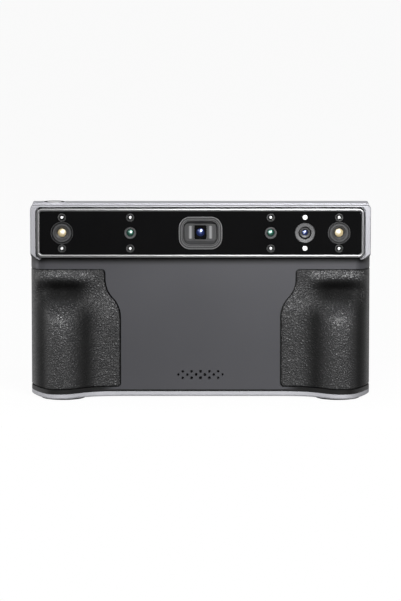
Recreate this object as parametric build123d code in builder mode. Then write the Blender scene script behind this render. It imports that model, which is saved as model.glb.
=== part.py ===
from build123d import *
import os

# Hand-held 3-D scanner: a camera bar, two grips and a screen that folds up from the back.
# The x axis runs to the right seen from the front, y to the back and z up, in millimetres.
# The origin lies under the middle of the part, on the surface that its feet stand on.

os.makedirs("parts", exist_ok=True)

# Envelope
body_width = 210.0
body_depth = 50.0
roof_height = 120.8
shell_wall = 2.2
board_screw_tip = 1.0
roof_wall = 2.4
clear = 1.0

# Feet and bottom plate
foot_drop = 0.9
foot_sink = 0.6
foot_width = 28.0
foot_length = 38.0
foot_side_inset = 6.0
foot_setback = 3.5
foot_chamfer = 0.3
plate_height = 3.0
plate_rounding = 0.9
plate_rounding_start = 0.3

# Front panel and grips
grip_reach = 14.0
side_depth = 13.0
parting_depth = 29.0
panel_wall = 2.0
grip_skin = 2.0
grip_bed_wall = 2.0
seam = 0.4
lower_strip = 3.2
upper_strip = 6.6
grip_neck = 45.9
grip_foot = 55.4
grip_corner = 2.0
neck_rise = 24.0
neck_drop = 5.5
shoulder_start = 30.5
shoulder_end = 16.5
hollow_depth = 5.5
hollow_start = 23.0
hollow_floor = 13.5
hollow_end = 3.0
section_steps = 8

# One side of the front, from the outer side inwards: distance in from the side, share of the
# rounded side, share of the grip's bulge and share of the finger hollow.
grip_stations = (
    (0.0, 1.00, 0.00, 0.00),
    (1.6, 0.52, 0.00, 0.10),
    (4.6, 0.13, 0.22, 0.40),
    (8.3, 0.01, 0.61, 0.75),
    (12.2, 0.00, 0.90, 1.00),
    (17.5, 0.00, 1.00, 1.00),
    (24.0, 0.00, 0.89, 0.95),
    (30.5, 0.00, 0.56, 0.60),
    (37.0, 0.00, 0.24, 0.18),
    (46.0, 0.00, 0.05, 0.00),
    (57.0, 0.00, 0.00, 0.00),
)

# Speaker openings in the front panel
speaker_height = 14.4
speaker_pitch = 5.47
speaker_row_step = 2.0
speaker_hole = 1.9
speaker_hole_end = 1.3
speaker_rows = (5, 6, 5)

# Camera bar
bar_reach = 5.0
frame_setback = 1.5
frame_depth = 6.5
roof_step = 0.8
frame_lip = 0.8
frame_cheek = 3.2
frame_corner = 2.2
frame_low_corner = 4.5
frame_rounding = 0.6
window_groove = 0.6
bezel_height = 30.8
bezel_rim = 2.05
bezel_corner = 2.2
bezel_bevel = 1.0
bezel_inner_bevel = 0.5
bezel_ledge = 2.0
window_setback = 0.7
window_thickness = 2.0
window_gap = 0.1
ear_height = 4.6
ear_inset = 7.0

# Optics, measured from the middle of the window
far_spacing = 85.4
near_spacing = 43.3
colour_offset = 64.4
led_rise = 9.6
lens_step = 0.4
optic_gap = 0.1
far_rim_radius = 6.9
far_groove = 0.7
far_rim_wall = 0.5
far_lens_radius = 2.7
near_radius = 3.6
near_lens_radius = 2.2
colour_radius = 6.2
colour_well_radius = 3.85
colour_cell_radius = 2.9
colour_lens_radius = 1.7
led_ring_radius = 2.38
led_ring_wall = 0.6
led_radius = 1.5
led_dome = 0.75
flash_radius = 1.5
flash_dome = 0.5
rim_width = 26.6
rim_height = 20.0
rim_corner = 7.0
rim_proud = 0.3
rim_steps = 3
rim_step_width = 0.85
rim_step_depth = 0.5
rim_floor_width = 19.6
rim_floor_height = 10.6
rim_floor_corner = 2.0
rim_floor_depth = 4.4
nose_width = 7.3
nose_height = 8.5
nose_proud = 0.4
nose_corner = 0.6
nose_root = 1.0
projector_lens_radius = 2.7
light_bar_width = 2.2
light_bar_height = 7.9
light_bar_offset = 6.2
light_bar_proud = 0.2
light_bar_corner = 0.7
engine_width = 24.0
engine_height = 18.0
engine_depth = 14.0
engine_corner = 1.2
bracket_thickness = 3.0
bracket_height = 22.5
bracket_side_gap = 0.9
bracket_ear_gap = 1.0
bracket_screw_drop = 6.9
holder_margin = 1.2
holder_corner = 0.6
holder_depth = 4.0
sensor_board_thickness = 1.2

# Scan button on the roof
button_offset = 90.5
button_depth = -1.0
button_radius = 4.8
button_travel = 0.8
button_gap = 0.3
button_dome = 0.5
collar_radius = 7.1
collar_rise = 0.3
collar_rim = 0.4
collar_sleeve = 1.0
collar_tail = 1.6
button_flange = 0.7
button_flange_height = 0.6
switch_size = 6.0
switch_corner = 0.6
switch_height = 2.2
switch_board_margin = 0.8
plunger_radius = 1.7
plunger_height = 0.8
switch_play = 0.1
small_board_thickness = 1.2
pillar_radius = 1.8

# Power key on the back
key_offset = 84.6
key_height = 66.0
key_radius = 4.1
key_recess = 0.3
key_travel = 0.8

# Rear casing
casing_inset = 0.6
rear_corner = 14.0
roof_rounding = 2.4
slope_height = 25.8
roof_fall = 1.3
slope_rounding = 14.0
wing_gap = 2.2

# Folding screen and its hinge
screen_width = 150.0
screen_height = 78.0
screen_thickness = 8.0
screen_corner = 5.0
screen_gap = 0.4
screen_side_gap = 0.6
screen_top = 100.0
screen_wall = 1.5
screen_rounding = 0.8
glass_thickness = 1.1
glass_inset = 0.3
display_thickness = 1.8
display_margin = 3.0
screen_board_width = 100.0
screen_board_height = 50.0
screen_pad = 1.2
finger_notch_width = 30.0
finger_notch_drop = 7.0
finger_notch_depth = 3.5
finger_notch_corner = 3.5
hinge_radius = 4.0
hinge_arm = 6.0
barrel_half_length = 45.0
knuckle_gap = 0.3
knuckle_length = 12.0
bracket_foot_length = 9.0
bracket_foot_thickness = 2.0
bracket_half_height = 3.6
pin_radius = 1.5
pin_gap = 0.05
pin_engagement = 12.0
barrel_web_inset = 1.5

# Inner parts
post_radius = 3.0
post_offset = 62.0
post_low = 28.0
post_high = 80.0
screw_radius = 1.25
screw_head_radius = 2.3
screw_head_height = 1.4
screw_length = 9.0
board_width = 112.0
board_low = 18.0
board_high = 78.0
board_thickness = 1.6
board_standoff = 6.0
standoff_radius = 2.6
standoff_inset = 5.0
can_width = 44.0
can_height = 32.0
can_depth = 2.0
can_corner = 1.0
spreader_corner = 2.0
spreader_width = 86.0
spreader_height = 42.0
battery_width = 84.0
battery_height = 52.0
battery_depth = 7.5
battery_low = 28.0
pocket_half_width = 46.0
speaker_width = 34.0
speaker_body_height = 11.0
speaker_depth = 4.5
speaker_corner = 1.6
mesh_thickness = 0.4
usb_height = 33.0
usb_width = 9.0
usb_thickness = 3.3
usb_length = 7.4
usb_wall = 0.35
usb_tongue = 0.7
usb_tongue_half = 3.0
usb_floor = 1.0
usb_slot_gap = 0.3
usb_setback = 0.4
wing_board_width = 22.0
wing_board_height = 30.0
tripod_depth = 5.0
tripod_radius = 2.55
tripod_insert_radius = 4.6
tripod_length = 9.0
tripod_chamfer = 0.425
tripod_boss_radius = 7.5
base_screw_front = 4.0
base_screw_offset = 40.0
base_post_height = 10.0

# Levels and places worked out from the sizes above
half_width = body_width / 2
front_y = -body_depth / 2
back_y = body_depth / 2
panel_y = front_y + grip_reach
parting_y = front_y + parting_depth
bezel_y = panel_y - bar_reach
frame_y = bezel_y + frame_setback
frame_back = frame_y + frame_depth
window_y = bezel_y + window_setback
window_back = window_y + window_thickness
plate_low = foot_drop
plate_top = plate_low + plate_height
frame_top = roof_height - roof_step
bezel_top = frame_top - frame_lip - window_groove
bezel_low = bezel_top - bezel_height
frame_low = bezel_low - window_groove - frame_lip
bezel_half = half_width - frame_cheek - window_groove
window_z = (bezel_top + bezel_low) / 2
ear_top = frame_low + ear_height
grip_low = plate_top + lower_strip
grip_top = frame_low - upper_strip
inner_x = half_width - grip_stations[-1][0]
roof_inside = roof_height - roof_wall
casing_half = half_width - casing_inset
recess_y = back_y - screen_thickness - screen_gap
wall_inside = recess_y - shell_wall
wing_inside = back_y - shell_wall
screen_y = back_y - screen_thickness
screen_low = screen_top - screen_height
hinge_y = back_y - hinge_radius
hinge_z = screen_top + hinge_arm
bracket_front = frame_back
bracket_back = bracket_front + bracket_thickness
holder_back = bracket_back + holder_depth
board_back = wall_inside - board_standoff
board_front = board_back - board_thickness


def facing(depth):
    """The upright plane at a depth, seen from the front: x to the right and z up."""
    return Plane.XZ.offset(-depth)


def level(height):
    """The flat plane at a height, seen from above."""
    return Plane.XY.offset(height)


def block(x_limits, y_limits, z_limits, mode=Mode.ADD):
    """A box between two limits on each axis."""
    sizes = [high - low for low, high in (x_limits, y_limits, z_limits)]
    middle = [(high + low) / 2 for low, high in (x_limits, y_limits, z_limits)]
    with Locations(tuple(middle)):
        Box(*sizes, mode=mode)


def rod_back(x, z, radius, y_limits, mode=Mode.ADD):
    """A round bar along y at a place on the front."""
    with BuildSketch(facing(y_limits[1])) as outline:
        with Locations((x, z)):
            Circle(radius)
    extrude(outline.sketch, amount=y_limits[1] - y_limits[0], mode=mode)


def rod_up(x, y, radius, z_limits, mode=Mode.ADD):
    """A round bar along z at a place on the plan."""
    with BuildSketch(level(z_limits[0])) as outline:
        with Locations((x, y)):
            Circle(radius)
    extrude(outline.sketch, amount=z_limits[1] - z_limits[0], mode=mode)


def slab(x, z, width, height, corner, y_limits, mode=Mode.ADD):
    """An upright plate with rounded corners, seen from the front."""
    with BuildSketch(facing(y_limits[1])) as outline:
        with Locations((x, z)):
            RectangleRounded(width, height, corner)
    extrude(outline.sketch, amount=y_limits[1] - y_limits[0], mode=mode)


def finish(part, name):
    """Name a piece and write it out."""
    part.label = name
    export_step(part, f"parts/{name}.step")


def smooth(share):
    """A step that starts and ends level, from 0 to 1."""
    held = min(max(share, 0.0), 1.0)
    return held * held * (3.0 - 2.0 * held)


def bulge_share(z):
    """How much of the grip's bulge there is at a height: all below the shoulder, none above."""
    start = grip_top - shoulder_start
    end = grip_top - shoulder_end
    return 1.0 - smooth((z - start) / (end - start))


def hollow_share(z):
    """How much of the finger hollow there is at a height."""
    start = grip_top - hollow_start
    floor = grip_top - hollow_floor
    end = grip_top - hollow_end
    return smooth((z - start) / (floor - start)) * (1.0 - smooth((z - floor) / (end - floor)))


def side_outline(side, z, inset):
    """Points of one side of the front at a height, from the panel out to the side.

    Each point is moved square to the outline by the inset.
    """
    points = []
    for inboard, corner, bulge, hollow in reversed(grip_stations):
        depth = panel_y + side_depth * corner
        depth += hollow_depth * hollow * hollow_share(z) - grip_reach * bulge * bulge_share(z)
        points.append(Vector(half_width - inboard, depth))
    moved = []
    for index, point in enumerate(points):
        if index == 0:
            inward = Vector(0, 1)
        elif index == len(points) - 1:
            inward = Vector(-1, 0)
        else:
            along = (points[index + 1] - points[index - 1]).normalized()
            inward = Vector(-along.Y, along.X)
        moved.append(point + inward * inset)
    return [(side * point.X, point.Y) for point in moved]


def side_solid(side, inset, back, low, high):
    """One side of the front as a solid, drawn in by an inset, from the panel back to a depth."""
    start = grip_top - shoulder_start
    rise = (grip_top - start) / section_steps
    heights = [low, (low + start) / 2]
    heights += [start + rise * step for step in range(section_steps + 1)]
    heights.append(high)
    with BuildPart() as solid:
        for z in heights:
            points = side_outline(side, z, inset)
            with BuildSketch(level(z)):
                with BuildLine():
                    Spline(*points)
                    Polyline(points[-1], (points[-1][0], back), (points[0][0], back), points[0])
                make_face()
        loft(ruled=True)
    return solid.part


def grip_prism(side, grow):
    """The grip's outline seen from the front, grown all round, carried through the body."""
    neck_x = half_width - grip_neck - grow
    foot_x = half_width - grip_foot - grow
    low = grip_low - grow
    high = grip_top + grow
    outer_x = half_width + clear
    neck_z = grip_top - neck_drop
    foot_z = neck_z - neck_rise
    middle = ((neck_x + foot_x) / 2, (neck_z + foot_z) / 2)
    with BuildPart() as prism:
        with BuildSketch(facing(parting_y)):
            with BuildLine():
                Polyline((side * outer_x, low), (side * foot_x, low), (side * foot_x, foot_z))
                lower = TangentArc((side * foot_x, foot_z), (side * middle[0], middle[1]), tangent=(0, 1))
                TangentArc((side * middle[0], middle[1]), (side * neck_x, neck_z), tangent=lower % 1)
                Polyline((side * neck_x, neck_z), (side * neck_x, high), (side * outer_x, high))
                Line((side * outer_x, high), (side * outer_x, low))
            make_face()
        extrude(amount=body_depth)
        inner = [edge for edge in prism.edges().filter_by(Axis.Y) if abs(edge.center().X) < half_width]
        by_height = ShapeList(inner).sort_by(Axis.Z)
        fillet([by_height[0], by_height[-1]], grip_corner + grow)
    return prism.part


sides = (("left", -1), ("right", 1))
outer_sides = {side: side_solid(side, 0.0, parting_y, plate_top, ear_top) for _, side in sides}
bed_sides = {side: side_solid(side, grip_skin, parting_y, plate_top, ear_top) for _, side in sides}
cavity_inset = grip_skin + grip_bed_wall
cavity_sides = {
    side: side_solid(side, cavity_inset, parting_y + clear, plate_top, ear_top) for _, side in sides
}


def grip_layer(side, grow):
    """The outer layer of one side inside the grip's outline, grown all round."""
    with BuildPart() as layer:
        add(outer_sides[side])
        add(bed_sides[side], mode=Mode.SUBTRACT)
        add(grip_prism(side, grow), mode=Mode.INTERSECT)
    return layer.part


# Grips: skins over the beds of the front panel
for name, side in sides:
    finish(grip_layer(side, 0.0), f"{name}_grip")


# Front panel: a shell with beds for the grips, speaker holes and screw posts
hole_rows = []
for row, count in enumerate(speaker_rows):
    row_z = speaker_height + speaker_row_step * ((len(speaker_rows) - 1) / 2 - row)
    for place in range(count):
        offset = place - (count - 1) / 2
        reach = abs(offset) / (max(speaker_rows) / 2)
        size = speaker_hole + (speaker_hole_end - speaker_hole) * reach
        hole_rows.append((offset * speaker_pitch, row_z, size / 2))
pocket_y = panel_y + panel_wall
cavity_y = panel_y + cavity_inset
posts = [(side * post_offset, z) for _, side in sides for z in (post_low, post_high)]
panel_base_y = panel_y + base_screw_front
with BuildPart() as front_panel:
    for _, side in sides:
        add(outer_sides[side])
    block((-inner_x, inner_x), (panel_y, parting_y), (plate_top, ear_top))
    for _, side in sides:
        add(cavity_sides[side], mode=Mode.SUBTRACT)
    through = (plate_top - clear, ear_top + clear)
    block((-inner_x - clear, inner_x + clear), (cavity_y, parting_y + clear), through, Mode.SUBTRACT)
    block((-pocket_half_width, pocket_half_width), (pocket_y, cavity_y + clear), through, Mode.SUBTRACT)
    over_frame = (frame_low, ear_top + clear)
    inside_ears = half_width - ear_inset
    block((-half_width, half_width), (front_y, frame_back), over_frame, Mode.SUBTRACT)
    block((-inside_ears, inside_ears), (front_y, parting_y + clear), over_frame, Mode.SUBTRACT)
    for x, z in posts:
        rod_back(x, z, post_radius, (panel_y + panel_wall, wall_inside))
        rod_back(x, z, screw_radius, (wall_inside - screw_length, wall_inside), Mode.SUBTRACT)
    for _, side in sides:
        rod_up(side * base_screw_offset, panel_base_y, post_radius, (plate_top, plate_top + base_post_height))
        block(
            (side * base_screw_offset - post_radius, side * base_screw_offset + post_radius),
            (pocket_y, panel_base_y),
            (plate_top, plate_top + base_post_height),
        )
        rod_up(
            side * base_screw_offset, panel_base_y, screw_radius,
            (plate_top, plate_top + screw_length), Mode.SUBTRACT,
        )
    for _, side in sides:
        add(grip_layer(side, seam), mode=Mode.SUBTRACT)
    for x, z, radius in hole_rows:
        rod_back(x, z, radius, (panel_y - clear, pocket_y + clear), Mode.SUBTRACT)
finish(front_panel.part, "front_panel")

# Bottom plate: the silver band under the front panel and the rear casing
tripod_top = plate_low + tripod_length
base_screws = [(side * base_screw_offset, panel_base_y) for _, side in sides]
rear_base_y = wall_inside - post_radius / 2
base_screws += [(side * base_screw_offset, rear_base_y) for _, side in sides]
foot_x = half_width - foot_side_inset - foot_width / 2
foot_y = front_y + foot_setback + foot_length / 2
corner_x = casing_half - rear_corner
corner_y = back_y - rear_corner
arc_share = 0.5 ** 0.5


def plate_face(inset, height):
    """The outline of the whole body on the plan, drawn in by an inset, at a height."""
    left_points = side_outline(-1, plate_top, inset)
    right_points = side_outline(1, plate_top, inset)
    side_x = casing_half - inset
    rear_y = back_y - inset
    arc_x = corner_x + (rear_corner - inset) * arc_share
    arc_y = corner_y + (rear_corner - inset) * arc_share
    with BuildSketch(level(height)) as outline:
        with BuildLine():
            Line(left_points[0], right_points[0])
            Spline(*right_points)
            Polyline(right_points[-1], (half_width - inset, parting_y), (side_x, corner_y))
            ThreePointArc((side_x, corner_y), (arc_x, arc_y), (corner_x, rear_y))
            Line((corner_x, rear_y), (-corner_x, rear_y))
            ThreePointArc((-corner_x, rear_y), (-arc_x, arc_y), (-side_x, corner_y))
            Polyline((-side_x, corner_y), (inset - half_width, parting_y), left_points[-1])
            Spline(*left_points)
        make_face()
    return outline.sketch


with BuildPart() as bottom_plate:
    rounded_top = plate_low + plate_rounding
    faces = [plate_face(plate_rounding, plate_low)]
    faces.append(plate_face(plate_rounding_start, plate_low + plate_rounding_start))
    faces += [plate_face(0.0, rounded_top), plate_face(0.0, plate_top)]
    loft(faces, ruled=True)
    rod_up(0, tripod_depth, tripod_boss_radius, (plate_low, tripod_top))
    rod_up(0, tripod_depth, tripod_insert_radius, (plate_low - clear, tripod_top + clear), Mode.SUBTRACT)
    for x, y in base_screws:
        rod_up(x, y, screw_radius, (plate_low - clear, plate_top + clear), Mode.SUBTRACT)
        rod_up(x, y, screw_head_radius, (plate_low - clear, plate_low + screw_head_height), Mode.SUBTRACT)
    for _, side in sides:
        with BuildSketch(level(plate_low)) as pocket:
            with Locations((side * foot_x, foot_y)):
                SlotOverall(foot_length, foot_width, rotation=90)
        extrude(pocket.sketch, amount=foot_sink, mode=Mode.SUBTRACT)
finish(bottom_plate.part, "bottom_plate")

# Feet under the grips
for name, side in sides:
    with BuildPart() as foot:
        with BuildSketch():
            with Locations((side * foot_x, foot_y)):
                SlotOverall(foot_length - seam, foot_width - seam, rotation=90)
        extrude(amount=foot_drop + foot_sink)
        chamfer(foot.faces().sort_by(Axis.Z)[0].edges(), foot_chamfer)
    finish(foot.part, f"{name}_foot")

# Threaded insert for a tripod
with BuildPart() as tripod_insert:
    rod_up(0, tripod_depth, tripod_insert_radius, (plate_low, tripod_top))
    rod_up(0, tripod_depth, tripod_radius, (plate_low - clear, tripod_top + clear), Mode.SUBTRACT)
    chamfer(tripod_insert.faces().sort_by(Axis.Z)[0].inner_wires()[0].edges(), tripod_chamfer)
finish(tripod_insert.part, "tripod_insert")

# Front frame: the silver surround, open under the bezel
bezel_back = panel_y
opening_half = bezel_half - bezel_rim - bezel_ledge
opening_height = bezel_height - 2 * (bezel_rim + bezel_ledge)
frame_height = frame_top - frame_low
frame_middle = (frame_top + frame_low) / 2
bracket_half = half_width - frame_cheek - bracket_side_gap
bracket_low = ear_top + bracket_ear_gap
bracket_middle = bracket_low + bracket_height / 2
frame_screws = [
    (side * (bracket_half - screw_head_radius), z)
    for _, side in sides
    for z in (bracket_low + screw_head_radius, bracket_low + bracket_height - bracket_screw_drop)
]
with BuildPart() as front_frame:
    with BuildSketch(facing(frame_back)) as frame_outline:
        with Locations((0, frame_middle)):
            Rectangle(body_width, frame_height)
        fillet(frame_outline.vertices().group_by(Axis.Y)[-1], frame_corner)
        fillet(frame_outline.vertices().group_by(Axis.Y)[0], frame_low_corner)
    extrude(amount=frame_depth)
    front_edges = front_frame.faces().sort_by(Axis.Y)[0].edges()
    fillet(front_edges, frame_rounding)
    groove_half = bezel_half + window_groove
    groove_height = bezel_height + 2 * window_groove
    slab(0, window_z, 2 * groove_half, groove_height, bezel_corner + window_groove,
         (frame_y - clear, bezel_back), Mode.SUBTRACT)
    block((-bezel_half + bezel_corner, bezel_half - bezel_corner), (frame_y - clear, bezel_back),
          (frame_low - clear, window_z), Mode.SUBTRACT)
    slab(0, window_z, 2 * opening_half, opening_height, bezel_corner,
         (frame_y - clear, frame_back + clear), Mode.SUBTRACT)
    for x, z in frame_screws:
        rod_back(x, z, screw_radius, (bezel_back + window_groove, frame_back), Mode.SUBTRACT)
finish(front_frame.part, "front_frame")

# Bright bezel round the window
with BuildPart() as window_bezel:
    slab(0, window_z, 2 * bezel_half, bezel_height, bezel_corner, (bezel_y, bezel_back))
    chamfer(window_bezel.faces().sort_by(Axis.Y)[0].edges(), bezel_bevel)
    slab(0, window_z, 2 * (bezel_half - bezel_rim), bezel_height - 2 * bezel_rim, bezel_corner,
         (bezel_y - clear, window_back), Mode.SUBTRACT)
    slab(0, window_z, 2 * opening_half, opening_height, bezel_corner,
         (bezel_y - clear, bezel_back + clear), Mode.SUBTRACT)
    chamfer(window_bezel.faces().sort_by(Axis.Y)[0].inner_wires()[0].edges(), bezel_inner_bevel)
finish(window_bezel.part, "window_bezel")

# Black window with a hole for each camera, lamp and the projector
far_places = [("left", -far_spacing), ("right", far_spacing)]
near_places = [("left", -near_spacing), ("right", near_spacing)]
led_columns = [-far_spacing, -near_spacing, near_spacing, far_spacing]
led_places = [(x, window_z + rise) for x in led_columns for rise in (led_rise, -led_rise)]
flash_places = [(colour_offset, window_z + rise) for rise in (led_rise, -led_rise)]
window_holes = [(x, window_z, far_rim_radius) for _, x in far_places]
window_holes += [(x, window_z, near_radius) for _, x in near_places]
window_holes.append((colour_offset, window_z, colour_radius))
window_holes += [(x, z, led_ring_radius) for x, z in led_places]
window_holes += [(x, z, flash_radius) for x, z in flash_places]
with BuildPart() as window_plate:
    pane_half = bezel_half - bezel_rim - window_gap
    pane_height = bezel_height - 2 * (bezel_rim + window_gap)
    slab(0, window_z, 2 * pane_half, pane_height, bezel_corner - window_gap, (window_y, window_back))
    for x, z, radius in window_holes:
        rod_back(x, z, radius + optic_gap, (window_y - clear, window_back + clear), Mode.SUBTRACT)
    slab(0, window_z, rim_width + 2 * optic_gap, rim_height + 2 * optic_gap, rim_corner + optic_gap,
         (window_y - clear, window_back + clear), Mode.SUBTRACT)
finish(window_plate.part, "window_plate")

# Optics bracket: the metal bar behind the window that carries every camera
far_body_radius = far_rim_radius - far_rim_wall - far_groove
colour_body_radius = colour_well_radius + far_rim_wall
barrel_holes = [(x, far_body_radius) for _, x in far_places]
barrel_holes += [(x, near_radius) for _, x in near_places]
barrel_holes.append((colour_offset, colour_body_radius))
with BuildPart() as optics_bracket:
    slab(0, bracket_middle, 2 * bracket_half, bracket_height, bezel_corner, (bracket_front, bracket_back))
    for x, radius in barrel_holes:
        rod_back(x, window_z, radius + optic_gap, (bracket_front - clear, bracket_back + clear),
                 Mode.SUBTRACT)
    block(
        (-nose_width / 2 - optic_gap, nose_width / 2 + optic_gap),
        (bracket_front - clear, bracket_back + clear),
        (window_z - nose_height / 2 - optic_gap, window_z + nose_height / 2 + optic_gap),
        Mode.SUBTRACT,
    )
    for x, z in frame_screws:
        rod_back(x, z, screw_radius, (bracket_front - clear, bracket_back + clear), Mode.SUBTRACT)
finish(optics_bracket.part, "optics_bracket")


def turned(x, outline):
    """A piece turned about the optical axis at x; the outline lists radius and depth."""
    with BuildPart() as piece:
        with BuildSketch(Plane(origin=(x, 0, window_z), x_dir=(1, 0, 0), z_dir=(0, 0, 1))):
            with BuildLine():
                Polyline(*outline, close=True)
            make_face()
        revolve(axis=Axis((x, 0, window_z), (0, 1, 0)))
    return piece.part


def lens(x, radius, crown, front, back):
    """A lens with a domed front on the optical axis at x; front is the top of its dome."""
    dome_radius = (radius**2 + crown**2) / (2 * crown)
    with BuildPart() as piece:
        rod_back(x, window_z, radius, (front, front + crown))
        with Locations((x, front + dome_radius, window_z)):
            Sphere(dome_radius, mode=Mode.INTERSECT)
        rod_back(x, window_z, radius, (front + crown, back))
    return piece.part


# Outer cameras: a rim, a groove, and a barrel that steps in to the lens
far_front = window_y + lens_step
for name, x in far_places:
    far_barrel = turned(x, (
        (far_rim_radius, window_y),
        (far_rim_radius, bracket_front),
        (far_body_radius, bracket_front),
        (far_body_radius, holder_back),
        (far_lens_radius, holder_back),
        (far_lens_radius, far_front + 3 * lens_step),
        (far_lens_radius + 2 * lens_step, far_front + 2 * lens_step),
        (far_lens_radius + 3 * lens_step, far_front + lens_step),
        (far_lens_radius + 4 * lens_step, far_front),
        (far_body_radius, far_front),
        (far_body_radius, far_front + 3 * lens_step),
        (far_rim_radius - far_rim_wall, far_front + 3 * lens_step),
        (far_rim_radius - far_rim_wall, window_y),
    ))
    finish(far_barrel, f"far_barrel_{name}")
    far_lens = lens(x, far_lens_radius, 3 * lens_step, window_y + lens_step, holder_back)
    finish(far_lens, f"far_lens_{name}")

# Inner cameras: a plain ring round a small lens
for name, x in near_places:
    near_barrel = turned(x, (
        (near_radius, window_y),
        (near_radius, holder_back),
        (near_lens_radius, holder_back),
        (near_lens_radius, window_y + 2 * lens_step),
        (near_lens_radius + lens_step, window_y + lens_step),
        (near_lens_radius + 2 * lens_step, window_y),
    ))
    finish(near_barrel, f"near_barrel_{name}")
    near_lens = lens(x, near_lens_radius, 2 * lens_step, window_y + lens_step, holder_back)
    finish(near_lens, f"near_lens_{name}")

# Colour camera: a broad ring, a dark well and a small lens in its cell
colour_barrel = turned(colour_offset, (
    (colour_radius, window_y),
    (colour_radius, bracket_front),
    (colour_body_radius, bracket_front),
    (colour_body_radius, holder_back),
    (colour_lens_radius, holder_back),
    (colour_lens_radius, window_y + 4 * lens_step),
    (colour_cell_radius, window_y + 3 * lens_step),
    (colour_cell_radius, window_y + 6 * lens_step),
    (colour_well_radius - lens_step, window_y + 6 * lens_step),
    (colour_well_radius, window_y - lens_step / 2),
    (colour_radius - lens_step, window_y - lens_step),
))
finish(colour_barrel, "colour_barrel")
colour_lens = lens(colour_offset, colour_lens_radius, lens_step, window_y + 3 * lens_step, holder_back)
finish(colour_lens, "colour_lens")

# Sensor holders behind the bracket, each on its own barrel
holders = [(x, far_body_radius) for _, x in far_places]
holders += [(x, near_radius) for _, x in near_places]
holders.append((colour_offset, colour_body_radius))
with BuildPart() as sensor_holders:
    for x, radius in holders:
        span = 2 * (radius + holder_margin)
        slab(x, window_z, span, span, holder_corner, (bracket_back, holder_back))
        rod_back(x, window_z, radius, (bracket_back - clear, holder_back + clear), Mode.SUBTRACT)
finish(sensor_holders.part, "sensor_holders")

# Sensor boards on the holders
with BuildPart() as sensor_boards:
    for x, radius in holders:
        span = 2 * (radius + holder_margin)
        slab(x, window_z, span, span, holder_corner,
             (holder_back, holder_back + sensor_board_thickness))
finish(sensor_boards.part, "sensor_boards")

# Projector rim: stepped rings that fall to a sloped well
rim_y = window_y - rim_proud
floor_y = rim_y + rim_floor_depth
with BuildPart() as projector_rim:
    slab(0, window_z, rim_width, rim_height, rim_corner, (rim_y, bracket_front))
    for count in range(1, rim_steps):
        narrow = 2 * rim_step_width * count
        slab(0, window_z, rim_width - narrow, rim_height - narrow, rim_corner - narrow / 2,
             (rim_y - clear, rim_y + rim_step_depth * count), Mode.SUBTRACT)
    well_y = rim_y + rim_step_depth * (rim_steps - 1)
    narrow = 2 * rim_step_width * rim_steps
    with BuildSketch(facing(well_y)) as well_mouth:
        with Locations((0, window_z)):
            RectangleRounded(rim_width - narrow, rim_height - narrow, rim_corner - narrow / 2)
    with BuildSketch(facing(floor_y)) as well_floor:
        with Locations((0, window_z)):
            RectangleRounded(rim_floor_width, rim_floor_height, rim_floor_corner)
    loft([well_mouth.sketch, well_floor.sketch], mode=Mode.SUBTRACT)
    block(
        (-nose_width / 2 - optic_gap, nose_width / 2 + optic_gap),
        (rim_y - clear, bracket_front + clear),
        (window_z - nose_height / 2 - optic_gap, window_z + nose_height / 2 + optic_gap),
        Mode.SUBTRACT,
    )
    for _, side in sides:
        slab(side * light_bar_offset, window_z, light_bar_width, light_bar_height, light_bar_corner,
             (floor_y - clear, bracket_front + clear), Mode.SUBTRACT)
finish(projector_rim.part, "projector_rim")

# Projector engine with its square nose, its lens and the light bars beside it
nose_y = floor_y - nose_proud
with BuildPart() as projector_nose:
    slab(0, window_z, nose_width, nose_height, nose_corner, (nose_y, bracket_back + nose_root))
    slab(0, window_z, engine_width, engine_height, engine_corner,
         (bracket_back, bracket_back + engine_depth))
    rod_back(0, window_z, projector_lens_radius, (nose_y - clear, bracket_back), Mode.SUBTRACT)
finish(projector_nose.part, "projector_nose")
finish(lens(0, projector_lens_radius, 2 * lens_step, nose_y + lens_step, bracket_back), "projector_lens")
with BuildPart() as light_bars:
    for _, side in sides:
        slab(side * light_bar_offset, window_z, light_bar_width, light_bar_height, light_bar_corner,
             (floor_y - light_bar_proud, bracket_front))
finish(light_bars.part, "light_bars")

# Small lamps above and below the cameras
with BuildPart() as led_rings:
    for x, z in led_places:
        rod_back(x, z, led_ring_radius, (window_y - optic_gap, window_back))
        rod_back(x, z, led_ring_radius - led_ring_wall, (window_y - clear, window_back + clear),
                 Mode.SUBTRACT)
finish(led_rings.part, "led_rings")
with BuildPart() as infrared_leds:
    for x, z in led_places:
        rod_back(x, z, led_radius, (window_y + lens_step, bracket_front))
    fillet(infrared_leds.faces().group_by(Axis.Y)[0].edges(), led_dome)
finish(infrared_leds.part, "infrared_leds")
with BuildPart() as flash_leds:
    for x, z in flash_places:
        rod_back(x, z, flash_radius, (window_y - optic_gap, bracket_front))
    fillet(flash_leds.faces().group_by(Axis.Y)[0].edges(), flash_dome)
finish(flash_leds.part, "flash_leds")


def casing_plan(inset, height):
    """The rear casing's outline on the plan, drawn in by an inset, with rounded rear corners."""
    side_x = casing_half - inset
    rear_y = back_y - inset
    arc_x = corner_x + (rear_corner - inset) * arc_share
    arc_y = corner_y + (rear_corner - inset) * arc_share
    with BuildSketch(level(height)) as outline:
        with BuildLine():
            Line((-side_x, frame_back), (side_x, frame_back))
            Line((side_x, frame_back), (side_x, corner_y))
            ThreePointArc((side_x, corner_y), (arc_x, arc_y), (corner_x, rear_y))
            Line((corner_x, rear_y), (-corner_x, rear_y))
            ThreePointArc((-corner_x, rear_y), (-arc_x, arc_y), (-side_x, corner_y))
            Line((-side_x, corner_y), (-side_x, frame_back))
        make_face()
    return outline.sketch


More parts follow.
